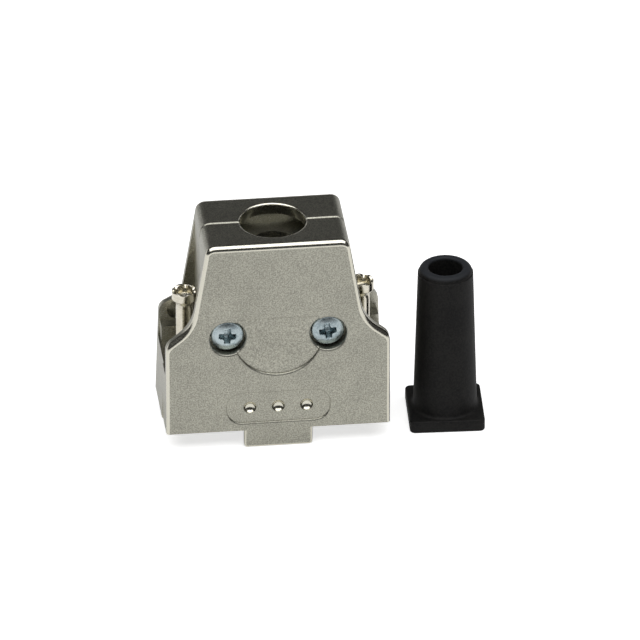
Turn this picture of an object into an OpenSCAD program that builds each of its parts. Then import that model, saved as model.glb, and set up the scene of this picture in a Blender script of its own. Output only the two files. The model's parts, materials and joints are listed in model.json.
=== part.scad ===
// Straight 9-way D-sub hood: two die-cast half shells, closed by two screws, with two captive
// jackscrews, a cable clamp inside and a rubber bend-relief sleeve. Millimetres, +Z along the cable.
// The origin is the centre of the rim that the connector's flange seats against.

/* [Casing] */
// Height from the connector rim to the top face
hood_h = 29.8; // [29:0.1:33]
// Depth over the front and back faces
hood_d = 14.0; // [13.6:0.1:16]
// Distance from each jackscrew's axis to the side face
jack_edge = 3.305; // [2.8:0.005:4]
// Distance from each side face to the tower between the plates, which is the pocket's width
pocket_w = 5.4; // [5.2:0.1:5.8]
// Distance that the top face's virtual corners lie inside each side face
top_inset = 5.8; // [5.4:0.1:6.4]
// Thickness of the front and back plates
plate_t = 1.5; // [1.4:0.05:1.9]
// Thickness of the side walls
wall_t = 1.4; // [1.0:0.05:1.6]
// Thickness of the top wall
roof_t = 1.6; // [1.2:0.05:1.8]
// Rounding of the upper corners
corner_r = 1.4; // [1:0.05:2]
// Rounding of the upper front and back edges
top_edge_r = 0.8; // [0.5:0.05:1]
// Rounding of the side edges
side_edge_r = 0.45; // [0.3:0.05:0.6]

/* [Shoulders] */
// Height of the front shoulder's outer corner
shoulder_z = 14.1; // [13.2:0.1:14.6]
// Distance inside the side face where the front slope meets the taper
neck_inset = 3.7; // [3.4:0.05:4]
// Height where the front slope meets the taper
neck_z = 17.05; // [16.6:0.05:17.6]
// Rounding of the front shoulder
shoulder_r = 2.0; // [1:0.1:2.4]
// Hollow radius between the front slope and the taper
neck_r = 6.0; // [4:0.1:6.4]
// How much lower the back shoulder's corner lies
ear_drop = 0.25; // [0:0.05:0.6]
// How much lower the back neck lies
ear_neck_drop = 1.5; // [1:0.05:1.7]
// How far the back shell's foot is wider than the front on each side
foot_flare = 0.15; // [0.05:0.01:0.3]
// How far the back shell's ears are narrower than the front on each side
ear_inset = 0.3; // [0.1:0.01:0.4]

/* [Base and screw pockets] */
// Height of the pocket floors
floor_z = 8.9; // [8.4:0.1:9.6]
// Thickness of the web under each pocket floor
web_t = 2.2; // [1.6:0.1:2.6]
// Height of the step at the back of each pocket
step_h = 2.5; // [1.8:0.1:2.8]
// Depth of that step
step_d = 1.8; // [1.2:0.1:2.2]
// Diameter of the round recess in each ear
ear_hole_d = 2.8; // [2:0.1:2.9]
// Distance from the side face to each ear recess
ear_hole_inset = 2.8; // [2.6:0.05:3]
// Distance of each ear recess below the ear's corner
ear_hole_drop = 0.85; // [0.6:0.05:1.1]
// Depth of the ear recess
ear_hole_t = 1.0; // [0.5:0.05:1.2]
// Distance that the back shell's side lips reach past the middle plane
lip_y = 2.2; // [1.6:0.1:2.6]
// Chamfer of the parting edges
parting_c = 0.2; // [0.1:0.01:0.3]

/* [Connector seat] */
// Depth of the connector's flange, held between the tongues
flange_d = 12.55; // [12.3:0.01:12.7]
// Room between the flange and each tongue
flange_gap = 0.1; // [0.05:0.01:0.15]
// Width of each tongue
tongue_w = 9.7; // [8:0.1:12]
// Length of each tongue below the rim
tongue_l = 2.8; // [2.7:0.1:3.4]
// Distance from each jackscrew's axis to the mouth that takes the connector's body
mouth_edge = 2.795; // [2.7:0.005:2.9]

/* [Jackscrews] */
// Distance between the two jackscrews
jack_pitch = 24.99; // [24.5:0.01:26.5]
// Diameter of the head
jack_head_d = 3.5; // [3.3:0.02:3.8]
// Height of the head's straight part
jack_head_h = 1.4; // [1.2:0.1:2]
// Height of the cone under the head
jack_cone_h = 0.7; // [0.4:0.1:1.2]
// Diameter of the shank
jack_shank_d = 2.4; // [2.2:0.02:2.5]
// Outer diameter of the thread
jack_thread_d = 2.84; // [2.76:0.02:2.9]
// Length of the threaded end
jack_thread_l = 6.5; // [5:0.1:7]
// Distance from the head's rim to the tip
jack_len = 22.05; // [21.5:0.05:22.5]
// Height of the tip above the tongues' ends
jack_lift = 0.15; // [0.1:0.01:0.4]
// Depth of the cup in the head
cup_t = 1.0; // [0.6:0.05:1.3]
// Diameter of the cup
cup_d = 2.7; // [2.2:0.05:2.8]
// Width of the notches in the cup's rim
cup_notch_w = 1.1; // [0.8:0.05:1.3]
// Depth of those notches
cup_notch_t = 0.8; // [0.4:0.05:1]
// Length of the chamfer at the tip and of the chamfer's step inwards
jack_tip_c = 0.4; // [0.3:0.05:0.5]
// Running clearance round the shank and the thread
jack_gap = 0.07; // [0.05:0.01:0.1]
// Wall of the bosses round the threads
jack_boss_t = 1.1; // [0.8:0.05:1.2]

/* [Assembly screws] */
// Distance from the tower's sides to the screws' axes
screw_inset = 3.32; // [3.2:0.01:3.5]
// Distance of the screws below the top face
screw_drop = 14.8; // [14.4:0.1:15.2]
// Head diameter
screw_head_d = 4.7; // [4.4:0.05:4.8]
// Head height
screw_head_h = 1.5; // [1.3:0.05:1.6]
// How deep the head's top lies below the face
screw_sink = 0.5; // [0.3:0.05:0.6]
// Room round the head
screw_head_gap = 0.25; // [0.15:0.01:0.3]
// Shank diameter
screw_d = 2.5; // [2.2:0.05:2.8]
// Shank length
screw_l = 9.0; // [7:0.1:9.4]
// Width of the cross recess
cross_w = 2.5; // [2.1:0.05:2.7]
// Room round a shank in the part that it passes through
shank_gap = 0.2; // [0.1:0.01:0.3]
// Room round a shank in the thread that it cuts
thread_gap = 0.02; // [0.01:0.01:0.05]
// Wall of the bosses round the screw heads
screw_boss_t = 0.8; // [0.6:0.05:1]

/* [Cable entry] */
// Diameter of the cable entry
entry_d = 9.28; // [9.22:0.02:9.6]
// Rounding of its lip
lip_r = 0.35; // [0.2:0.05:0.5]
// Room round the sleeve's flange in its slot
slot_gap = 0.2; // [0.1:0.05:0.3]
// Thickness of the shelf under that slot
shelf_t = 1.5; // [1:0.1:1.8]
// Diameter of the cable way through the shelf
shelf_d = 6.4; // [5:0.1:8]

/* [Cable clamp] */
// Cable diameter that the clamp is made for
cable_d = 5.2; // [4.6:0.1:5.4]
// Distance of the clamp below the shelf
clamp_drop = 3.5; // [3:0.1:3.7]
// Strap width along the cable
clamp_w = 3.6; // [3:0.1:4]
// Strap thickness
clamp_t = 0.9; // [0.7:0.05:1]
// Distance from the cavity's side walls to the clamp screws
clamp_inset = 2.7; // [2.6:0.05:2.8]
// Distance from the middle plane to the strap's seat
clamp_y = 1.0; // [0.6:0.1:1.4]
// Clamp screw shank diameter
clamp_screw_d = 2.0; // [1.8:0.05:2.1]
// Clamp screw head diameter
clamp_head_d = 3.4; // [3.1:0.05:3.6]
// Clamp screw head height
clamp_head_h = 1.2; // [1:0.05:1.4]
// Clamp screw shank length
clamp_screw_l = 4.2; // [3.6:0.1:4.4]
// Wall of the posts round the clamp screws
clamp_post_t = 0.8; // [0.6:0.05:0.9]

/* [Front face relief] */
// Diameter of the round field between the screws
field_d = 12.6; // [11:0.1:13.4]
// Height of its middle above the screws
field_lift = 0.2; // [-0.5:0.1:0.6]
// Depth of the round field's upper segment
field_t = 0.06; // [0.03:0.01:0.15]
// Depth of the bare part below that segment
bare_t = 0.3; // [0.18:0.01:0.4]
// Height of the step between them above the field's middle
bare_top = 2.6; // [1:0.1:4]
// Length of the round-ended field above the tongue
pad_w = 14.6; // [13:0.1:16]
// Height of that field
pad_h = 4.8; // [4.2:0.1:5.2]
// Height of its middle above the rim
pad_z = 3.6; // [3:0.1:3.9]
// Corner radius of that field
pad_r = 2.2; // [1.2:0.1:2.4]
// Depth of that field
pad_t = 0.22; // [0.1:0.01:0.3]
// Spacing of the three dimples
dimple_pitch = 4.0; // [3:0.1:4.4]
// Diameter of a dimple
dimple_d = 1.85; // [1.2:0.05:2]
// Depth of a dimple
dimple_t = 0.6; // [0.3:0.05:0.7]

/* [Sleeve] */
// Width of the square flange
sleeve_flange_w = 10.6; // [10:0.1:10.7]
// Thickness of the flange
sleeve_flange_t = 1.8; // [1.5:0.05:2]
// Tube diameter at the flange
sleeve_base_d = 9.0; // [8.6:0.05:9.1]
// Tube diameter at the tip
sleeve_tip_d = 7.8; // [7:0.05:8.2]
// Overall length
sleeve_l = 24.0; // [20:0.1:28]
// Bore diameter
sleeve_bore_d = 4.8; // [4:0.1:5.4]
// Rounding of the tip
sleeve_tip_r = 0.9; // [0.5:0.05:1.2]
// Space between the hood and the sleeve standing beside it
sleeve_space = 3.2; // [2:0.1:8]
// Place of the sleeve in depth
sleeve_y = -0.8; // [-3:0.1:3]
// Turn of the sleeve about its own axis
sleeve_turn = -2.5; // [-10:0.5:10]

/* [Hidden] */
$fn = 64;
eps = 0.01;
hood_w = jack_pitch + 2 * jack_edge;
tower_w = hood_w - 2 * pocket_w;
top_w = hood_w - 2 * top_inset;
mouth_w = jack_pitch - 2 * mouth_edge;
face_y = hood_d / 2;
inner_y = face_y - plate_t;
half_w = hood_w / 2;
tower_x = tower_w / 2;
cavity_x = tower_x - wall_t;
side_x = half_w - wall_t;
stand_z = -tongue_l;
neck_x = half_w - neck_inset;
tongue_t = face_y - flange_d / 2 - flange_gap;
taper = (neck_x - top_w / 2) / (hood_h - neck_z);
jack_x = jack_pitch / 2;
jack_tip_z = stand_z + jack_lift;
jack_rim_z = jack_tip_z + jack_len;
jack_boss_r = jack_thread_d / 2 + jack_gap + jack_boss_t;
screw_x = tower_x - screw_inset;
screw_z = hood_h - screw_drop;
screw_seat_y = -face_y + screw_sink + screw_head_h;
counterbore_d = screw_head_d + 2 * screw_head_gap;
slot_z = hood_h - roof_t - sleeve_flange_t - slot_gap;
slot_w = sleeve_flange_w + 2 * slot_gap;
clamp_x = cavity_x - clamp_inset;
clamp_z = slot_z - shelf_t - clamp_drop;
sleeve_x = half_w + sleeve_space + sleeve_flange_w / 2;
nickel = [0.66, 0.65, 0.59];
nickel_bright = [0.76, 0.72, 0.58];
zinc = [0.58, 0.65, 0.66];
black_rubber = [0.1, 0.1, 0.1];

// ---- Rounded outlines and the skins swept from them ----

function unit(v) = v / norm(v);

// Arc of steps + 1 points that rounds the corner b between a and c, each as [x, z, nx, nz] with its
// outward normal. turn is +1 for an outer corner and -1 for a hollow one.
function corner_arc(a, b, c, r, steps) =
    let (u = unit(a - b), v = unit(c - b), half = acos(u * v) / 2)
    let (mid = unit(u + v), centre = b + mid * r / sin(half))
    let (from = b + u * r / tan(half) - centre, to = b + v * r / tan(half) - centre)
    let (start = atan2(from[1], from[0]), sweep = atan2(to[1], to[0]) - start)
    let (turn = sweep > 180 ? sweep - 360 : sweep < -180 ? sweep + 360 : sweep)
    let (side = turn > 0 ? 1 : -1)
    [for (i = [0:steps]) let (t = start + turn * i / steps)
        [centre[0] + r * cos(t), centre[1] + r * sin(t), side * cos(t), side * sin(t)]];

// Right half of a plate outline, from its foot up to its top corner
function plate_half(foot_x, ear_x, ear_z, in_x, in_z, ear_r, in_r) =
    let (foot = [foot_x, 0], ear = [ear_x, ear_z], neck = [in_x, in_z])
    let (top = [top_w / 2, hood_h], middle = [0, hood_h])
    concat([[foot_x, 0, 1, 0]],
           corner_arc(foot, ear, neck, ear_r, 6),
           corner_arc(ear, neck, top, in_r, 6),
           corner_arc(neck, top, middle, corner_r, 6));

function mirrored(rows) = [for (i = [len(rows) - 1:-1:0]) [-rows[i][0], rows[i][1], -rows[i][2], rows[i][3]]];

// Edge rounding at an outline point: the top edge's radius where the outline faces up, else the side's
function edge_r(row) = side_edge_r + (top_edge_r - side_edge_r) * max(0, row[3]);

// One ring of the skin: the outline moved inwards and back along the quarter round of its edge
function edge_ring(rows, t) = [for (p = rows) let (r = edge_r(p), in = r * (1 - sin(t)))
    [p[0] - p[2] * in, -face_y + r * (1 - cos(t)), p[1] - p[3] * in]];

// A ring at one depth, moved inwards only above the base, whose lips close past the middle plane
function flat_ring(rows, y, in) = [for (p = rows) let (c = p[1] > floor_z ? in : 0)
    [p[0] - p[2] * c, y, p[1] - p[3] * c]];

// Solid through rings of equal length, closed by a cap at each end
module ring_solid(rings) {
    n = len(rings[0]);
    last = len(rings) - 1;
    sides = [for (k = [0:last - 1], i = [0:n - 1]) let (j = (i + 1) % n)
        each [[k * n + j, (k + 1) * n + j, (k + 1) * n + i], [k * n + j, (k + 1) * n + i, k * n + i]]];
    polyhedron(points = [for (ring = rings) each ring],
               faces = concat(sides, [[for (i = [n - 1:-1:0]) i]], [[for (i = [0:n - 1]) last * n + i]]),
               convexity = 6);
}

// The rings as they are for a front piece, or turned to the back for a rear one
function facing(rings, side) = side < 0 ? rings :
    [for (k = [len(rings) - 1:-1:0]) [for (p = rings[k]) [p[0], -p[1], p[2]]]];

// Half hood with rounded face edges, from its face to the parting plane; side is -1 in front, 1 at the back
module skin(half, side) {
    rows = concat(half, mirrored(half));
    past = parting_c;
    intersection() {
        ring_solid(facing(concat([[for (p = edge_ring(rows, 0)) [p[0], p[1] - past, p[2]]]],
                                 [for (t = [0:22.5:90]) edge_ring(rows, t)],
                                 [flat_ring(rows, -parting_c, 0), flat_ring(rows, past, parting_c + past)]),
                          side));
        block(-hood_w, hood_w, side < 0 ? -face_y : 0, side < 0 ? 0 : face_y, -1, hood_h + 1);
    }
}

module front_skin() {
    skin(plate_half(half_w, half_w, shoulder_z, neck_x, neck_z, shoulder_r, neck_r), -1);
}

module rear_skin() {
    skin(plate_half(half_w + foot_flare, half_w - ear_inset, shoulder_z - ear_drop,
                    neck_x + taper * ear_neck_drop, neck_z - ear_neck_drop, shoulder_r * 0.8, neck_r / 4), 1);
}

// ---- Small forms that several pieces share ----

module both_sides() {
    children();
    mirror([1, 0, 0]) children();
}

module block(x0, x1, y0, y1, z0, z1) {
    translate([x0, y0, z0]) cube([x1 - x0, y1 - y0, z1 - z0]);
}

// Cylinder along +Y from y0 to y1
module along_y(d, x, z, y0, y1) {
    translate([x, y0, z]) rotate([-90, 0, 0]) cylinder(d = d, h = y1 - y0);
}

// Pan head with its flat underside on y = 0, its shank along +Y, and a cross recess
module pan_screw(head_d, head_h, d, l, cross) {
    rim = head_h * 0.55;
    dome = ((head_d / 2) * (head_d / 2) + (head_h - rim) * (head_h - rim)) / (2 * (head_h - rim));
    difference() {
        rotate([90, 0, 0]) union() {
            cylinder(d = head_d, h = rim);
            intersection() {
                translate([0, 0, rim - eps]) cylinder(d = head_d, h = head_h);
                translate([0, 0, head_h - dome]) sphere(r = dome, $fn = 96);
            }
            translate([0, 0, -l]) cylinder(d = d, h = l + rim);
        }
        for (a = [0, 90]) rotate([0, a, 0])
            block(-cross / 2, cross / 2, -head_h - eps, -head_h * 0.42, -cross * 0.14, cross * 0.14);
        rotate([90, 0, 0]) translate([0, 0, head_h * 0.3])
            cylinder(d1 = cross * 0.2, d2 = cross * 0.72, h = head_h * 0.75);
    }
}

// ---- The hollows that both half shells share ----

// Side pockets round the jackscrews, open to the side and to the top
module side_pockets() {
    both_sides() difference() {
        block(tower_x, half_w + 2, -inner_y, inner_y, floor_z, hood_h + 1);
        block(tower_x - 1, half_w - ear_inset - 0.15, inner_y - step_d, inner_y + 1, floor_z - 1, floor_z + step_h);
    }
}

module cavity() {
    block(-mouth_w / 2, mouth_w / 2, -inner_y, inner_y, -1, floor_z - web_t);
    block(-cavity_x, cavity_x, -inner_y, inner_y, floor_z - web_t - 1, slot_z - shelf_t);
    both_sides() difference() {
        block(mouth_w / 2 - 1, side_x, -inner_y, inner_y, -1, floor_z - web_t);
        translate([jack_x, 0, -2]) cylinder(r = jack_boss_r, h = floor_z);
    }
    block(-slot_w / 2, slot_w / 2, -slot_w / 2, slot_w / 2, slot_z, hood_h - roof_t);
    translate([0, 0, slot_z - shelf_t - 1]) cylinder(d = shelf_d, h = shelf_t + 2);
}

// Cable entry with a rounded lip
module entry() {
    r = entry_d / 2;
    translate([0, 0, hood_h - roof_t - 1]) cylinder(r = r, h = roof_t + 2);
    translate([0, 0, hood_h - lip_r]) rotate_extrude() difference() {
        square([r + lip_r, lip_r + 1]);
        translate([r + lip_r, 0]) circle(r = lip_r);
    }
}

// Bores for the jackscrews: a close hole through the web, and a wider one round the thread
module jack_bores() {
    both_sides() translate([jack_x, 0, 0]) {
        translate([0, 0, -1]) cylinder(d = jack_thread_d + 2 * jack_gap, h = floor_z - web_t + 1);
        cylinder(d = jack_shank_d + 2 * jack_gap, h = floor_z + 1);
    }
}

// V groove down each side of the tower along the parting plane
module tower_grooves() {
    both_sides() translate([tower_x, 0, floor_z]) rotate([0, 0, 45])
        translate([-parting_c * 0.7, -parting_c * 0.7, 0]) cube([parting_c * 1.4, parting_c * 1.4, hood_h]);
}

module hollows() {
    side_pockets();
    cavity();
    entry();
    jack_bores();
    tower_grooves();
}

// Side lips: the outer walls of the base, which belong to the back shell up to lip_y in front
module side_lips() {
    both_sides() block(side_x, half_w + 1, -lip_y, 1, -1, floor_z);
}

module tongue(side) {
    half = concat(corner_arc([0, stand_z], [tongue_w / 2, stand_z], [tongue_w / 2, 1], 0.5, 4),
                  [[tongue_w / 2, 1, 1, 0]]);
    rows = concat(half, mirrored(half));
    back = -face_y + tongue_t;
    ring_solid(facing(concat([for (t = [0:30:90]) [for (p = rows) let (r = tongue_t / 2, in = r * (1 - sin(t)))
                                 [p[0] - p[2] * in, -face_y + r * (1 - cos(t)), p[1] - p[3] * in]]],
                             [[for (p = rows) [p[0], back, p[1]]]]),
                      side));
}

// ---- Pieces ----

module front_shell() {
    color(nickel) difference() {
        union() {
            difference() {
                front_skin();
                hollows();
                side_lips();
            }
            both_sides() difference() {
                along_y(counterbore_d + 2 * screw_boss_t, screw_x, screw_z, -inner_y - eps, 0);
                block(tower_x, half_w, -face_y, 1, 0, hood_h);
            }
            tongue(-1);
        }
        both_sides() {
            along_y(counterbore_d, screw_x, screw_z, -face_y - 1, screw_seat_y);
            along_y(screw_d + 2 * shank_gap, screw_x, screw_z, -face_y, 1);
        }
        face_relief();
    }
}

// Shallow fields and dimples in the front face
module face_relief() {
    field_z = screw_z + field_lift;
    along_y(field_d, 0, field_z, -face_y - 1, -face_y + field_t);
    intersection() {
        along_y(field_d, 0, field_z, -face_y - 1, -face_y + bare_t);
        block(-field_d, field_d, -face_y - 2, 0, field_z - field_d, field_z + bare_top);
    }
    translate([0, -face_y + pad_t, pad_z]) rotate([90, 0, 0]) linear_extrude(pad_t + 1) {
        square([pad_w - 2 * pad_r, pad_h], center = true);
        square([pad_w, pad_h - 2 * pad_r], center = true);
        for (sx = [-1, 1], sz = [-1, 1])
            translate([sx * (pad_w / 2 - pad_r), sz * (pad_h / 2 - pad_r)]) circle(r = pad_r);
    }
    ball_r = (dimple_d * dimple_d / 4 + dimple_t * dimple_t) / (2 * dimple_t);
    for (i = [-1:1]) translate([i * dimple_pitch, -face_y + pad_t + dimple_t - ball_r, pad_z])
        sphere(r = ball_r);
}

module rear_shell() {
    color(nickel) difference() {
        union() {
            difference() {
                union() {
                    rear_skin();
                    rear_lips();
                }
                hollows();
            }
            both_sides() difference() {
                along_y(counterbore_d + 2 * screw_boss_t, screw_x, screw_z, 0, inner_y + eps);
                block(tower_x, half_w, -1, face_y, 0, hood_h);
            }
            both_sides() along_y(clamp_screw_d + 2 * clamp_post_t, clamp_x, clamp_z, clamp_y, inner_y + eps);
            cable_saddle();
            tongue(1);
        }
        both_sides() {
            along_y(screw_d + 2 * thread_gap, screw_x, screw_z, -1, screw_seat_y + screw_l + 0.3);
            along_y(clamp_screw_d + 2 * thread_gap, clamp_x, clamp_z, 0, clamp_y - clamp_t + clamp_screw_l + 0.2);
            along_y(ear_hole_d, half_w - ear_hole_inset, shoulder_z - ear_drop - ear_hole_drop, inner_y - 1,
                    inner_y + ear_hole_t);
        }
    }
}

// Walls of the base that reach past the middle plane, drafted like the back shell's sides
module rear_lips() {
    draft = (foot_flare + ear_inset) / (shoulder_z - ear_drop);
    both_sides() translate([0, plate_t, 0]) rotate([90, 0, 0]) linear_extrude(lip_y + plate_t)
        polygon([[side_x, 0], [half_w + foot_flare, 0], [half_w + foot_flare - draft * floor_z, floor_z],
                 [side_x, floor_z]]);
}

// Grooved rib that the cable is pressed into
module cable_saddle() {
    difference() {
        block(-cable_d / 2, cable_d / 2, cable_d / 4, inner_y + eps, clamp_z - 1, clamp_z + 1);
        translate([0, 0, clamp_z - 2]) cylinder(d = cable_d, h = 4);
    }
}

module hood_screw(side) {
    color(zinc) translate([side * screw_x, screw_seat_y, screw_z]) rotate([0, side * 8, 0])
        pan_screw(screw_head_d, screw_head_h, screw_d, screw_l, cross_w);
}

module jackscrew(side) {
    r = jack_head_d / 2;
    cone_z = jack_len - jack_head_h - jack_cone_h;
    color(nickel_bright) translate([side * jack_x, 0, jack_tip_z]) difference() {
        union() {
            cylinder(d1 = jack_thread_d - 2 * jack_tip_c, d2 = jack_thread_d, h = jack_tip_c);
            translate([0, 0, jack_tip_c]) cylinder(d = jack_thread_d, h = jack_thread_l - jack_tip_c);
            cylinder(d = jack_shank_d, h = jack_len - jack_head_h);
            translate([0, 0, cone_z]) cylinder(d1 = jack_shank_d, d2 = jack_head_d, h = jack_cone_h);
            translate([0, 0, cone_z + jack_cone_h]) cylinder(d = jack_head_d, h = jack_head_h);
        }
        translate([0, 0, jack_len - cup_t]) cylinder(d1 = cup_d * 0.7, d2 = cup_d, h = cup_t + eps);
        for (a = [0:60:120]) translate([0, 0, jack_len]) rotate([90, 0, a - 17 - side * 6])
            linear_extrude(jack_head_d + 1, center = true)
                polygon([[-cup_notch_w / 2, eps], [-cup_notch_w / 8, -cup_notch_t],
                         [cup_notch_w / 8, -cup_notch_t], [cup_notch_w / 2, eps]]);
    }
}

// Bent strap: two feet on the posts and an arch over the cable
module cable_clamp() {
    foot = clamp_y - clamp_t;
    arch_r = cable_d / 2;
    end_x = clamp_x + clamp_head_d / 2 - 0.1;
    color(nickel_bright) difference() {
        translate([0, 0, clamp_z - clamp_w / 2]) linear_extrude(clamp_w) difference() {
            union() {
                circle(r = arch_r + clamp_t);
                translate([-end_x, foot]) square([2 * end_x, clamp_t]);
            }
            circle(r = arch_r);
            translate([-arch_r, 0]) square([2 * arch_r, 2 * arch_r]);
            translate([-end_x, clamp_y]) square([2 * end_x, 2 * arch_r]);
        }
        both_sides() along_y(clamp_screw_d + shank_gap, clamp_x, clamp_z, foot - 1, clamp_y + 1);
    }
}

module clamp_screw(side) {
    color(zinc) translate([side * clamp_x, clamp_y - clamp_t, clamp_z])
        pan_screw(clamp_head_d, clamp_head_h, clamp_screw_d, clamp_screw_l, clamp_head_d * 0.55);
}

// Rubber sleeve: a square flange and a tapered tube with a rounded tip, standing beside the hood
module cable_sleeve() {
    color(black_rubber) translate([sleeve_x, sleeve_y, stand_z]) rotate([0, 0, sleeve_turn]) difference() {
        union() {
            translate([0, 0, sleeve_flange_t / 2])
                cube([sleeve_flange_w, sleeve_flange_w, sleeve_flange_t], center = true);
            rotate_extrude() sleeve_profile();
        }
        translate([0, 0, -1]) cylinder(d = sleeve_bore_d, h = sleeve_l + 2);
    }
}

module sleeve_profile() {
    tip_x = sleeve_tip_d / 2;
    polygon(concat([[0, sleeve_flange_t / 2], [sleeve_base_d / 2, sleeve_flange_t / 2],
                    [sleeve_base_d / 2, sleeve_flange_t]],
                   [for (a = [0:18:90]) [tip_x - sleeve_tip_r + sleeve_tip_r * cos(a),
                                         sleeve_l - sleeve_tip_r + sleeve_tip_r * sin(a)]],
                   [[0, sleeve_l]]));
}

front_shell();
rear_shell();
hood_screw(-1);  // hood_screw_left
hood_screw(1);  // hood_screw_right
jackscrew(-1);  // jackscrew_left
jackscrew(1);  // jackscrew_right
cable_clamp();
clamp_screw(-1);  // clamp_screw_left
clamp_screw(1);  // clamp_screw_right
cable_sleeve();
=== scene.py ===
"""Looks of a straight 9-way D-sub hood: die-cast half shells, screws and a rubber bend-relief sleeve.

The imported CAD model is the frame. The castings and the clamp keep their CAD form, merged and smoothed;
the screws and the sleeve are finer surfaces worked out with numpy. Everything is in metres.
"""

import json
import math

import bmesh
import bpy
import numpy as np
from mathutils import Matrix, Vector


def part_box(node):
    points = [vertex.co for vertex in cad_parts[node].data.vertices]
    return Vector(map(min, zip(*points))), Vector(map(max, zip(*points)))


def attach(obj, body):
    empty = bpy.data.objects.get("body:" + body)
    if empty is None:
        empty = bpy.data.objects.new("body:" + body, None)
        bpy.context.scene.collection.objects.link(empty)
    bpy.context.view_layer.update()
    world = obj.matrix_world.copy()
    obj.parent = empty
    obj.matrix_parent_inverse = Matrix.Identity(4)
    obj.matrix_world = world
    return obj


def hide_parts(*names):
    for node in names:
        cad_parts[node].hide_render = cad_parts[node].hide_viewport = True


MM = 0.001
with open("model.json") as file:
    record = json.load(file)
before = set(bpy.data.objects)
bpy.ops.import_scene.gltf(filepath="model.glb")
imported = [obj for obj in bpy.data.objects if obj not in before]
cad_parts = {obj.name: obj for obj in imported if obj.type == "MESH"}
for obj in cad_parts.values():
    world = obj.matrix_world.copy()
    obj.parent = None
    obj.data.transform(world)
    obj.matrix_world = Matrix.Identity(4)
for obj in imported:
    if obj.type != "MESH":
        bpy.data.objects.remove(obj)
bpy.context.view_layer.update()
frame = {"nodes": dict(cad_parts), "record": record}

FACE_Y = float(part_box("front_shell")[0][1])      # the front face
STAND_Z = float(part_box("rear_shell")[0][2])      # the tongues' ends, on which the hood stands


def in_scene(name, data):
    """A new object in the scene with that data."""
    made = bpy.data.objects.new(name, data)
    bpy.context.scene.collection.objects.link(made)
    return made


def box_corners(node_name):
    """Low and high corner of a CAD node's box as arrays."""
    return [np.array(corner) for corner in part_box(node_name)]


# ---------------------------------------------------------------- numpy surfaces


def smooth_step(t):
    """0 below t = 0, 1 above t = 1, and 3t^2 - 2t^3 between."""
    t = np.clip(t, 0.0, 1.0)
    return t * t * (3.0 - 2.0 * t)


def arc(centre, radius, start, end, steps):
    """Points (r, z) on a circle round centre, from start to end degrees."""
    t = np.radians(np.linspace(start, end, steps + 1))
    return np.stack([centre[0] + radius * np.cos(t), centre[1] + radius * np.sin(t)], 1)


def line(a, b, steps):
    """Points (r, z) on the straight line from a to b, the last one left out."""
    t = np.linspace(0.0, 1.0, steps + 1)[:-1, None]
    return np.array(a) * (1 - t) + np.array(b) * t


def turned(profile, columns):
    """Grid [row, column, xyz] of a profile of (r, z) turned about Z."""
    t = np.linspace(0.0, 2 * math.pi, columns, endpoint=False)
    r, z = profile[:, 0][:, None], profile[:, 1][:, None]
    return np.stack([r * np.cos(t), r * np.sin(t), z + 0 * t], -1)


def piece_from_grid(name, points, loop=False):
    """Object whose faces join a grid of points [row, column, xyz] that closes round the axis.

    Rows run along the profile. With loop the last row joins the first, as on a tube with a bore;
    otherwise the first and last rows are closed by a fan each. The grid is wound so that a profile
    that climbs the outside has its faces outwards.
    """
    rows, columns = points.shape[:2]
    index = np.arange(rows * columns).reshape(rows, columns)
    upper = np.roll(index, -1, 0) if loop else index[1:]
    lower = index if loop else index[:-1]
    quads = np.stack([lower, np.roll(lower, -1, 1), np.roll(upper, -1, 1), upper], -1).reshape(-1, 4)
    vertices, faces = points.reshape(-1, 3), quads.tolist()
    if not loop:
        first, last = len(vertices), len(vertices) + 1
        vertices = np.concatenate([vertices, points[[0, -1]].mean(1)])
        turn = np.roll(index[0], -1)
        faces += np.stack([turn, index[0], np.full(columns, first)], 1).tolist()
        turn = np.roll(index[-1], -1)
        faces += np.stack([index[-1], turn, np.full(columns, last)], 1).tolist()
    mesh = bpy.data.meshes.new(name)
    mesh.from_pydata(vertices.tolist(), [], faces)
    mesh.polygons.foreach_set("use_smooth", np.full(len(mesh.polygons), True))
    mesh.update()
    return in_scene(name, mesh)


def soften(piece, degrees):
    """Smooth shading that stays sharp where faces meet at more than that angle."""
    with bpy.context.temp_override(object=piece, selected_objects=[piece],
                                   selected_editable_objects=[piece]):
        bpy.ops.object.shade_smooth_by_angle(angle=math.radians(degrees))


def mark_painted_light(mesh, inward):
    """Face attribute of painted light: 1 on rounded edges, whose normals lie between Y and the XZ plane,
    else 0.

    On these edges the material paints a highlight; the small chamfers along the parting plane get none.
    Faces that point inward (the sign of their Y), mostly in shade, get 0.6: painted light that lifts
    them.
    """
    near_parting = 0.9 * MM
    normals, centres = np.empty((2, len(mesh.polygons) * 3), dtype=np.float32)
    mesh.polygons.foreach_get("normal", normals)
    mesh.polygons.foreach_get("center", centres)
    normal_y, depth = normals.reshape(-1, 3)[:, 1], np.abs(centres.reshape(-1, 3)[:, 1])
    tilt = np.abs(normal_y)
    rounded = (tilt > 0.08) & (tilt < 0.995) & (depth > near_parting)
    # the mask of painted highlight on rounded edges and painted light on inward faces in shade
    painted_light = mesh.attributes.new("painted_light", "FLOAT", "FACE")
    painted_light.data.foreach_set("value", np.where(inward * normal_y > 0.9, 0.6, rounded).astype(np.float32))


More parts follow.
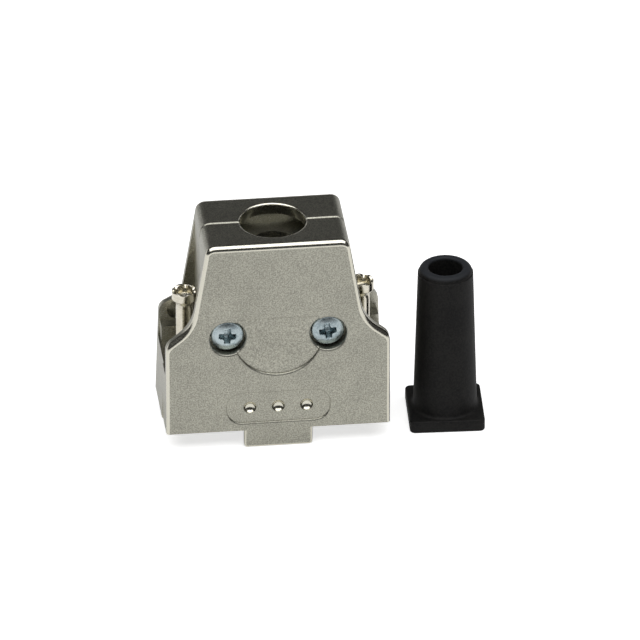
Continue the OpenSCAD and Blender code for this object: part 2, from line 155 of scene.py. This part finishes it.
def mark_face_edges(work, width):
    """Bevel weights on the sharp edges of the recesses and holes in the front face.

    An edge counts where a front face meets a wall that runs deeper; its bevel is no wider than the
    wall is deep, and no wider than width.
    """
    deepest_edge, shallowest_wall, level = 0.35 * MM, 0.03 * MM, 0.002 * MM
    weight = work.edges.layers.float.new("bevel_weight_edge")
    for edge in work.edges:
        depths = [v.co.y - FACE_Y for v in edge.verts]
        if len(edge.link_faces) != 2 or max(depths) > deepest_edge or max(depths) - min(depths) > level:
            continue
        walls = [face for face in edge.link_faces if abs(face.normal.y) < 0.1]
        fronts = [face for face in edge.link_faces if face.normal.y < -0.99]
        if walls and fronts:
            reach = max(v.co.y for v in walls[0].verts) - FACE_Y - depths[0]
            if reach > shallowest_wall:
                edge[weight] = min(1.0, reach / width)


def refined(cad_node, name, inward=1, edge=0.0):
    """Dressed copy of a CAD node's mesh: flat triangles joined, edges broken, shading softened."""
    mesh = frame["nodes"][cad_node].data.copy()
    piece = in_scene(name, mesh)
    work = bmesh.new()
    work.from_mesh(mesh)
    bmesh.ops.remove_doubles(work, verts=work.verts, dist=0.0002 * MM)
    bmesh.ops.dissolve_limit(work, angle_limit=math.radians(0.4), verts=work.verts, edges=work.edges)
    if edge:
        mark_face_edges(work, edge)
    work.to_mesh(mesh)
    work.free()
    if mesh.has_custom_normals:
        with bpy.context.temp_override(object=piece, active_object=piece):
            bpy.ops.mesh.customdata_custom_splitnormals_clear()
    mesh.materials.clear()
    mark_painted_light(mesh, inward)
    if edge:
        broken = piece.modifiers.new("broken_edges", "BEVEL")
        broken.limit_method = "WEIGHT"
        broken.width = edge
        broken.segments = 4
        broken.use_clamp_overlap = False
    soften(piece, 40)
    flats = piece.modifiers.new("flat_faces", "WEIGHTED_NORMAL")
    flats.mode = "FACE_AREA"
    flats.weight = 100
    flats.keep_sharp = True
    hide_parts(cad_node)
    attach(piece, "hood")
    return piece


# ---------------------------------------------------------------- shader groups

SURFACE_INPUTS = [("Light Tone", "Color", (0.7, 0.7, 0.6, 1)), ("Dark Tone", "Color", (0.5, 0.5, 0.4, 1)),
                  ("Gloss Low", "Float", 0.3), ("Gloss High", "Float", 0.5)]
SURFACE_OUTPUTS = [("Color", "Color"), ("Roughness", "Float"), ("Height", "Float")]


def node(tree, kind, links=(), **values):
    """A node of a kind, with properties or input values set by name and links made to its inputs."""
    made = tree.nodes.new("ShaderNode" + kind)
    for key, value in values.items():
        if hasattr(made, key):
            setattr(made, key, value)
        else:
            made.inputs[key.replace("_", " ")].default_value = value
    for socket, source in links:
        tree.links.new(source, made.inputs[socket])
    return made


def calc(tree, operation, first, second):
    """Math node on two sockets or numbers."""
    made = node(tree, "Math", operation=operation)
    for socket, value in zip(made.inputs, (first, second)):
        if isinstance(value, (int, float)):
            socket.default_value = value
        else:
            tree.links.new(value, socket)
    return made.outputs[0]


def ramp(tree, source, low, high):
    """Smooth step of a socket: 0 at low, 1 at high, whichever of them is larger."""
    return node(tree, "MapRange", [("Value", source)], interpolation_type="SMOOTHSTEP",
                From_Min=low, From_Max=high).outputs["Result"]


def mixed(tree, factor, first, second):
    """Colour mix of two colours or sockets by a factor socket."""
    made = node(tree, "Mix", data_type="RGBA")
    tree.links.new(factor, made.inputs["Factor"])
    for socket, value in ((made.inputs[6], first), (made.inputs[7], second)):
        if isinstance(value, tuple):
            socket.default_value = value
        else:
            tree.links.new(value, socket)
    return made.outputs[2]


def object_place(tree):
    """Socket with the place on the piece, in metres in the frame."""
    return node(tree, "TexCoord").outputs["Object"]


def new_group(name, own_inputs):
    """Effect group with its own number inputs (name, default) and those that every surface has."""
    group = bpy.data.node_groups.new(name, "ShaderNodeTree")
    for label, kind, default in [(label, "Float", value) for label, value in own_inputs] + SURFACE_INPUTS:
        socket = group.interface.new_socket(label, in_out="INPUT", socket_type="NodeSocket" + kind)
        socket.default_value = default
    for label, kind in SURFACE_OUTPUTS:
        group.interface.new_socket(label, in_out="OUTPUT", socket_type="NodeSocket" + kind)
    return group, group.nodes.new("NodeGroupInput").outputs


def finish_group(group, given, tone_mask, gloss_mask, height):
    """Outputs of an effect group: tone and gloss between the given ones by a mask each, and relief."""
    gloss = node(group, "MapRange", [("Value", gloss_mask), ("To Min", given["Gloss Low"]),
                                     ("To Max", given["Gloss High"])])
    out = group.nodes.new("NodeGroupOutput")
    group.links.new(mixed(group, tone_mask, given["Dark Tone"], given["Light Tone"]), out.inputs["Color"])
    group.links.new(gloss.outputs["Result"], out.inputs["Roughness"])
    group.links.new(height, out.inputs["Height"])
    return group


def cast_grain_group():
    """Die-cast skin under plating: fine pits and grain, slow clouding of tone and gloss."""
    group, given = new_group("cast_grain", [("Grain Size", 0.2 * MM), ("Clouding", 0.5)])
    place = object_place(group)
    scale = calc(group, "DIVIDE", 1.0, given["Grain Size"])
    grain = node(group, "TexNoise", [("Vector", place), ("Scale", scale)],
                 Detail=3.0, Roughness=0.65).outputs["Fac"]
    pits = node(group, "TexVoronoi", [("Vector", place), ("Scale", calc(group, "MULTIPLY", scale, 0.6))],
                feature="SMOOTH_F1").outputs["Distance"]
    cloud = node(group, "TexNoise", [("Vector", place)], Scale=190.0, Detail=4.0, Roughness=0.6)
    clouding = calc(group, "MULTIPLY", ramp(group, cloud.outputs["Fac"], 0.35, 0.65), given["Clouding"])
    tone = calc(group, "ADD", ramp(group, grain, 0.3, 0.7), clouding)
    height = calc(group, "ADD", grain, calc(group, "MULTIPLY", pits, 0.5))
    return finish_group(group, given, ramp(group, tone, 0.0, 1.5), grain, height)


def turning_group():
    """Lathe marks: fine rings along Z, broken by slow noise, with tone and gloss that follow them."""
    group, given = new_group("turning_marks", [("Ring Pitch", 0.1 * MM), ("Strength", 0.5)])
    place = object_place(group)
    along = node(group, "SeparateXYZ", [("Vector", place)]).outputs["Z"]
    rings = node(group, "TexNoise", noise_dimensions="1D", Detail=4.0, Scale=1.0, Roughness=0.7)
    group.links.new(calc(group, "DIVIDE", along, given["Ring Pitch"]), rings.inputs["W"])
    patch = node(group, "TexNoise", [("Vector", place)], Scale=900.0, Detail=3.0).outputs["Fac"]
    height = calc(group, "ADD", calc(group, "MULTIPLY", rings.outputs["Fac"], given["Strength"]),
                  calc(group, "MULTIPLY", patch, 0.3))
    tone_mask = ramp(group, calc(group, "ADD", rings.outputs["Fac"], patch), 0.7, 1.3)
    return finish_group(group, given, tone_mask, patch, height)


# ---------------------------------------------------------------- materials


def new_material(name, metallic):
    """Material with its Principled BSDF; returns material, node tree and shader."""
    material = bpy.data.materials.new(name)
    material.use_nodes = True
    shader = material.node_tree.nodes["Principled BSDF"]
    shader.inputs["Metallic"].default_value = metallic
    return material, material.node_tree, shader


def bumped(tree, shader, height, distance, strength):
    """Relief from a height socket into the shader."""
    bump = node(tree, "Bump", [("Height", height)], Strength=strength, Distance=distance)
    tree.links.new(bump.outputs["Normal"], shader.inputs["Normal"])


def surface(name, metallic, group, own, light, dark, gloss, relief):
    """Material on an effect group; returns material, node tree, shader and the group's outputs.

    own holds the group's own values, light and dark its tones, gloss its two roughnesses, and relief
    the distance and strength of the bump.
    """
    material, tree, shader = new_material(name, metallic)
    effect = tree.nodes.new("ShaderNodeGroup")
    effect.node_tree = group
    values = {**own, "Light Tone": (*light, 1), "Dark Tone": (*dark, 1),
              "Gloss Low": gloss[0], "Gloss High": gloss[1]}
    for label, value in values.items():
        effect.inputs[label].default_value = value
    tree.links.new(effect.outputs["Color"], shader.inputs["Base Color"])
    tree.links.new(effect.outputs["Roughness"], shader.inputs["Roughness"])
    bumped(tree, shader, effect.outputs["Height"], *relief)
    return material, tree, shader, effect.outputs


def cast_nickel(group):
    """Matt nickel plating on the castings; rounded edges smoother, without grain, and lighter by a
    painted highlight.
    """
    relief = (0.03 * MM, 0.45)
    material, tree, shader, effect = surface(
        "cast_nickel", 1.0, group, {"Grain Size": 0.17 * MM, "Clouding": 0.12},
        (0.60, 0.59, 0.50), (0.27, 0.265, 0.227), (0.28, 0.42), relief)
    painted_light = node(tree, "Attribute", attribute_name="painted_light").outputs["Fac"]
    polished = calc(tree, "MULTIPLY", painted_light, -0.16)
    # painted highlight: lighter colour on the rounded edges, and painted light on inward faces that lie
    # in shade
    tree.links.new(mixed(tree, painted_light, effect["Color"], (0.72, 0.70, 0.60, 1)), shader.inputs["Base Color"])
    tree.links.new(calc(tree, "ADD", effect["Roughness"], polished), shader.inputs["Roughness"])
    outside_painted_light = calc(tree, "SUBTRACT", 1.0, painted_light)
    bumped(tree, shader, calc(tree, "MULTIPLY", effect["Height"], outside_painted_light), *relief)
    return material


def black_rubber(group):
    """Moulded rubber: matt, nearly black, finely textured, with a painted highlight that makes the end
    face paler and greyer.
    """
    material, tree, shader, effect = surface(
        "black_rubber", 0.0, group, {"Grain Size": 0.3 * MM, "Clouding": 0.6},
        (0.0125, 0.012, 0.011), (0.002, 0.002, 0.0022), (0.5, 0.68), (0.03 * MM, 0.8))
    height = node(tree, "SeparateXYZ", [("Vector", object_place(tree))]).outputs["Z"]
    top = float(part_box("cable_sleeve")[1][2])
    painted_end_highlight = ramp(tree, height, top - 0.55 * MM, top - 0.1 * MM)
    # painted highlight: the end face near the top is lighter and bluer, for the light it would catch
    tree.links.new(mixed(tree, painted_end_highlight, effect["Color"], (0.021, 0.023, 0.027, 1)),
                   shader.inputs["Base Color"])
    shader.inputs["Specular IOR Level"].default_value = 0.2
    return material


grain, turning = cast_grain_group(), turning_group()
NICKEL, RUBBER = cast_nickel(grain), black_rubber(grain)
BRIGHT = surface("turned_nickel", 1.0, turning, {"Ring Pitch": 0.09 * MM, "Strength": 0.6},
                 (0.84, 0.80, 0.69), (0.64, 0.60, 0.49), (0.12, 0.26), (0.01 * MM, 0.4))[0]
ZINC = surface("zinc_plate", 1.0, grain, {"Grain Size": 0.35 * MM, "Clouding": 0.9},
               (0.52, 0.60, 0.62), (0.30, 0.37, 0.40), (0.20, 0.36), (0.015 * MM, 0.35))[0]
STRIP = surface("clamp_strip", 1.0, grain, {"Grain Size": 0.3 * MM, "Clouding": 0.4},
                (0.74, 0.73, 0.69), (0.58, 0.57, 0.53), (0.25, 0.4), (0.01 * MM, 0.3))[0]

# ---------------------------------------------------------------- pieces


def jackscrew(side):
    """Captive jackscrew: threaded end, shank, cone and a cup head with six notches in its rim.

    Formula: r(v) follows the profile; on the threaded end r is lowered by a triangle wave of the phase
    z / pitch - angle / 2 pi, which fades out at both ends. The rim's height falls as the cube of
    |cos(3 angle)|, most of all on its inner side.
    """
    name = "jackscrew_" + side
    low, high = box_corners(name)
    centre, tip, top = (low + high) / 2, low[2], high[2]
    tip_r, thread_r, shank_r, head_r = 0.9 * MM, 1.42 * MM, 1.2 * MM, 1.75 * MM
    pitch, thread_depth, thread_top = 0.635 * MM, 0.30 * MM, tip + 6.5 * MM
    cone_low, head_low, edge = top - 2.1 * MM, top - 1.4 * MM, 0.1 * MM
    cup_r, cup_floor = head_r - 0.42 * MM, top - 1.15 * MM
    notch_depth, outer_share, rim_rows = 0.5 * MM, 0.3, 8
    outside = np.concatenate([
        line((0.25 * MM, tip), (tip_r, tip), 3),
        line((tip_r, tip), (thread_r, tip + 0.5 * MM), 4),
        line((thread_r, tip + 0.5 * MM), (thread_r, thread_top), 84),
        line((thread_r, thread_top), (shank_r, thread_top + 0.25 * MM), 3),
        line((shank_r, thread_top + 0.25 * MM), (shank_r, cone_low), 20),
        line((shank_r, cone_low), (head_r - edge, head_low), 8),
        arc((head_r - edge, head_low + edge), edge, -60, 0, 4),
        line((head_r, head_low + 1.4 * edge), (head_r, top - edge), 26),
        arc((head_r - edge, top - edge), edge, 0, 90, 4),
        line((head_r - edge, top), (cup_r + edge, top), 3)])
    inside = np.concatenate([
        arc((cup_r + edge, top - edge), edge, 90, 180, 4),
        line((cup_r, top - edge), (cup_r - 0.2 * MM, cup_floor), 26),
        line((cup_r - 0.2 * MM, cup_floor), (0.12 * MM, cup_floor - 0.35 * MM), 10)])
    profile = np.concatenate([outside, inside])
    columns = 240
    grid = turned(profile, columns)
    angle = np.linspace(0.0, 2 * math.pi, columns, endpoint=False)[None, :]
    rows = np.arange(len(profile))

    height, radius = grid[..., 2], np.hypot(grid[..., 0], grid[..., 1])
    phase = (height - tip) / pitch - angle / (2 * math.pi)
    wave = np.abs(2 * (phase - np.floor(phase)) - 1)
    fade = smooth_step((height - tip) / (0.8 * MM)) * smooth_step((thread_top - height) / (0.4 * MM))
    threaded = ((rows < len(outside)) & (profile[:, 1] < thread_top) & (profile[:, 0] > tip_r))[:, None]
    grid[..., :2] *= np.where(threaded, 1 - fade * thread_depth * wave / radius, 1.0)[..., None]

    first_notch = math.radians({"left": 79, "right": 67}[side])
    lobe = np.abs(np.cos(3 * (angle - first_notch))) ** 3
    up = smooth_step((profile[:, 1] - cup_floor - 0.05 * MM) / (top - cup_floor - 0.1 * MM))
    inward = np.clip((rows - len(outside) + rim_rows - 1) / rim_rows, 0.0, 1.0)
    share = up * (outer_share + (1 - outer_share) * inward)
    grid[..., 2] -= notch_depth * lobe * share[:, None]

    piece = piece_from_grid(name + "_turned", grid + np.array([centre[0], centre[1], 0]))
    soften(piece, 40)
    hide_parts(name)
    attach(piece, side + "_jackscrew")
    return piece


def pan_head_screw(name, head_r, head_h, shank_r, length, cross):
    """Pan head with a cross recess of that width, along -Y.

    Formula: the head's top is a height over the disc: a shallow dome with a rounded rim, minus a recess
    whose depth falls smoothly with the distance to two crossing arms and to their ends.
    """
    low, high = box_corners(name)
    centre, seat = (low + high) / 2, low[1] + head_h
    dome, edge, point, relief = 0.336 * head_h, 0.22 * head_h, 0.5 * MM, 0.06 * MM
    rings = np.concatenate([np.linspace(0.002 * MM, 0.62 * head_r, 64, endpoint=False),
                            np.linspace(0.62 * head_r, head_r - edge, 12)])
    crown = np.stack([rings, head_h - dome * (rings / head_r) ** 2], 1)
    rim_top = crown[-1, 1]
    side = np.concatenate([
        arc((head_r - edge, rim_top - edge), edge, 70, 0, 6),
        line((head_r, rim_top - edge), (head_r, relief), 5),
        line((head_r, relief), (head_r - relief, 0.0), 2),
        line((head_r - relief, 0.0), (shank_r, 0.0), 4),
        line((shank_r, 0.0), (shank_r, point - length), 8),
        line((shank_r, point - length), (0.5 * shank_r, -length), 3),
        np.array([[0.5 * shank_r, -length], [0.02 * MM, -length]])])
    profile = np.concatenate([crown, side])
    grid = turned(profile, 144)
    turn = math.radians(8 if name.endswith("right") else -4)
    x = np.abs(grid[..., 0] * math.cos(turn) + grid[..., 1] * math.sin(turn))
    y = np.abs(-grid[..., 0] * math.sin(turn) + grid[..., 1] * math.cos(turn))
    near, along = np.minimum(x, y), np.maximum(x, y)
    arm_w, arm_l = 0.16 * cross, 0.5 * cross
    slope = 1 - smooth_step((near - 0.7 * arm_w) / (0.4 * arm_w))
    reach = 1 - smooth_step((along - 0.5 * arm_l) / (0.5 * arm_l))
    well = 1 - smooth_step((np.hypot(x, y) - 0.2 * arm_l) / (0.42 * arm_l))
    sink = np.maximum(slope * reach * 0.95 * head_h, well * head_h)
    on_crown = (np.arange(len(profile)) < len(crown))[:, None]
    grid[..., 2] -= np.where(on_crown, sink, 0.0)
    placed = np.stack([grid[..., 0] + centre[0], seat - grid[..., 2], grid[..., 1] + centre[2]], -1)
    piece = piece_from_grid(name + "_formed", placed)
    soften(piece, 50)
    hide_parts(name)
    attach(piece, "hood")
    return piece


def rounded_square(angle, half, corner):
    """Distance from the middle to the outline of a rounded square, for each angle."""
    c, s = np.abs(np.cos(angle)), np.abs(np.sin(angle))
    inner = half - corner
    flat = half / np.maximum(c, s)
    far = inner * (c + s) + np.sqrt(np.maximum(inner ** 2 * ((c + s) ** 2 - 2) + corner ** 2, 0.0))
    in_corner = np.minimum(c, s) * flat > inner
    return np.where(in_corner, far, flat)


def bend_relief_sleeve():
    """Moulded sleeve: square flange, tapered tube with a bead at its tip, and a flared bore.

    Formula: rows of a closed profile round the wall; each row is a ring whose distance from the axis
    blends from a rounded square (flange) to a circle (tube, bore).
    """
    axis = next(m["pos_m"] for m in frame["record"]["mounts"] if m["name"] == "sleeve_bore")
    low, high = box_corners("cable_sleeve")
    bottom, top = low[2], high[2]
    turn = math.radians(-2.5)
    half, corner, flange_t, edge = 5.3 * MM, 0.8 * MM, 1.8 * MM, 0.22 * MM
    base_r, tip_r, bore_r = 4.5 * MM, 3.9 * MM, 2.4 * MM
    foot, tip_round, step, flare = 0.5 * MM, 0.9 * MM, 0.14 * MM, 0.35 * MM
    bead = tip_round - step
    shoulder = bottom + flange_t
    z_low, z_high = shoulder + foot, top - tip_round
    t = np.linspace(0.0, 2 * math.pi, 240, endpoint=False)

    def square_ring(inset, z):
        reach = rounded_square(t, half - inset, max(corner - inset, 0.1 * MM))
        return np.stack([reach * np.cos(t), reach * np.sin(t), np.full_like(t, z)], 1)

    def round_ring(r, z):
        return np.stack([r * np.cos(t), r * np.sin(t), np.full_like(t, z)], 1)

    rows = [round_ring(bore_r, bottom)]
    rows += [square_ring(edge, bottom) * np.array([f, f, 1]) for f in (0.75, 1.0)]
    rows += [square_ring(edge * (1 - math.sin(a)), bottom + edge * (1 - math.cos(a)))
             for a in np.radians([30, 60, 90])]
    rows += [square_ring(0.0, bottom + f * flange_t) for f in (0.3, 0.6)]
    rows += [square_ring(edge * (1 - math.cos(a)), shoulder - edge * (1 - math.sin(a)))
             for a in np.radians([0, 30, 60, 90])]
    ring_out, ring_in = square_ring(edge, shoulder), round_ring(base_r + foot, shoulder)
    rows += [ring_out * (1 - f) + ring_in * f for f in (0.4, 0.8, 1.0)]
    rows += [round_ring(base_r + foot * (1 - math.sin(a)), shoulder + foot * (1 - math.cos(a)))
             for a in np.radians([22, 45, 68, 90])]
    rows += [round_ring(base_r + (tip_r - base_r) * (z - z_low) / (z_high - z_low), z)
             for z in np.linspace(z_low, z_high, 26)[1:]]
    rows += [round_ring(tip_r - step, z_high + 0.4 * step)]
    rows += [round_ring(tip_r - step - bead * (1 - math.cos(a)), z_high + step + bead * math.sin(a))
             for a in np.radians([0, 15, 30, 45, 60, 75, 90])]
    rows += [round_ring(bore_r + flare * (1 - math.sin(a)), top - flare * (1 - math.cos(a)))
             for a in np.radians([0, 30, 60, 90])]
    rows += [round_ring(bore_r, z) for z in np.linspace(top - flare, bottom, 12)[1:-1]]
    grid = np.array(rows)
    x, y = grid[..., 0].copy(), grid[..., 1].copy()
    grid[..., 0] = x * math.cos(turn) - y * math.sin(turn) + axis[0]
    grid[..., 1] = x * math.sin(turn) + y * math.cos(turn) + axis[1]
    piece = piece_from_grid("sleeve_moulded", grid, loop=True)
    soften(piece, 35)
    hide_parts("cable_sleeve")
    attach(piece, "hood")
    return piece


# ---------------------------------------------------------------- assembly


def dress(piece, material):
    """Material of a piece."""
    piece.data.materials.clear()
    piece.data.materials.append(material)


dress(refined("front_shell", "front_shell_cast", edge=0.28 * MM), NICKEL)
dress(refined("rear_shell", "rear_shell_cast", inward=-1), NICKEL)
for side_name in ("left", "right"):
    dress(jackscrew(side_name), BRIGHT)
    dress(pan_head_screw("hood_screw_" + side_name, 2.35 * MM, 1.5 * MM, 1.25 * MM, 9.0 * MM, 2.6 * MM),
          ZINC)
    dress(pan_head_screw("clamp_screw_" + side_name, 1.7 * MM, 1.2 * MM, 1.0 * MM, 4.2 * MM, 1.9 * MM),
          ZINC)
dress(refined("cable_clamp", "cable_clamp_bent"), STRIP)
dress(bend_relief_sleeve(), RUBBER)

# ---------------------------------------------------------------- table, lights and camera

VIEW_AZIMUTH, VIEW_ELEVATION = math.radians(-6.5), math.radians(30.3)
AIM = Vector((6.66 * MM, -0.05 * MM, 13.2 * MM))
VIEW_DISTANCE = 2.39
LENS, SENSOR = 957.0375, 36.0      # long lens and its sensor, in mm


def table_material():
    """Near-white matt sheet, which the camera sees lifted to white where nothing shades it."""
    material, tree, shader = new_material("pale_table", 0.0)
    cloud = node(tree, "TexNoise", [("Vector", object_place(tree))], Scale=8.0, Detail=2.0)
    tree.links.new(mixed(tree, cloud.outputs["Fac"], (0.93, 0.93, 0.93, 1), (0.95, 0.95, 0.95, 1)),
                   shader.inputs["Base Color"])
    shader.inputs["Roughness"].default_value = 0.8
    shader.inputs["Specular IOR Level"].default_value = 0.0
    shader.inputs["Emission Color"].default_value = (1, 1, 1, 1)
    path = node(tree, "LightPath").outputs
    lift = calc(tree, "ADD", calc(tree, "MULTIPLY", path["Is Camera Ray"], 0.68),
                calc(tree, "MULTIPLY", path["Is Glossy Ray"], 0.16))
    tree.links.new(lift, shader.inputs["Emission Strength"])
    return material


def make_table():
    """Large flat sheet at the height of the tongues' ends."""
    half = 3.0
    mesh = bpy.data.meshes.new("table")
    mesh.from_pydata([(-half, -half, STAND_Z), (half, -half, STAND_Z), (half, half, STAND_Z),
                      (-half, half, STAND_Z)], [], [(0, 1, 2, 3)])
    mesh.materials.append(table_material())
    in_scene("table", mesh)


def make_softbox(place, target, width, depth, power):
    """Rectangular area lamp at a place, facing a target."""
    lamp = bpy.data.lights.new("overhead", "AREA")
    lamp.shape = "RECTANGLE"
    lamp.size, lamp.size_y = width, depth
    lamp.energy = power
    holder = in_scene("overhead", lamp)
    holder.location = place
    holder.rotation_euler = (Vector(target) - Vector(place)).to_track_quat("-Z", "Y").to_euler()


def make_world():
    """Dim grey room with a pale wall behind the object; what the camera sees past the table is white."""
    world = bpy.data.worlds.new("studio")
    bpy.context.scene.world = world
    world.use_nodes = True
    tree = world.node_tree
    room = tree.nodes["Background"]
    way = node(tree, "SeparateXYZ", [("Vector", node(tree, "TexCoord").outputs["Generated"])]).outputs
    wall = calc(tree, "MULTIPLY", ramp(tree, way["Y"], 0.1, 0.5), ramp(tree, way["Z"], 0.24, 0.08))
    tree.links.new(mixed(tree, wall, (0.045, 0.045, 0.045, 1), (0.95, 0.95, 0.95, 1)),
                   room.inputs["Color"])
    white = node(tree, "Background", Color=(1, 1, 1, 1))
    path = node(tree, "LightPath")
    mix = node(tree, "MixShader", [("Fac", path.outputs["Is Camera Ray"])])
    tree.links.new(room.outputs[0], mix.inputs[1])
    tree.links.new(white.outputs[0], mix.inputs[2])
    tree.links.new(mix.outputs[0], tree.nodes["World Output"].inputs["Surface"])


def make_camera():
    """Long lens at the viewing angle, aimed between the hood and the sleeve."""
    back = Vector((math.sin(VIEW_AZIMUTH) * math.cos(VIEW_ELEVATION),
                   -math.cos(VIEW_AZIMUTH) * math.cos(VIEW_ELEVATION), math.sin(VIEW_ELEVATION)))
    data = bpy.data.cameras.new("camera")
    data.sensor_width, data.lens = SENSOR, LENS
    data.clip_start, data.clip_end = 0.05, 20.0
    camera = in_scene("camera", data)
    camera.location = AIM + back * VIEW_DISTANCE
    camera.rotation_euler = (-back).to_track_quat("-Z", "Y").to_euler()
    bpy.context.scene.camera = camera


make_table()
make_world()
make_softbox((0.0, -0.14, 0.45), (0.0, -0.14, 0.0), 0.9, 0.52, 3.0)
make_camera()
bpy.context.scene.view_settings.view_transform = "Standard"
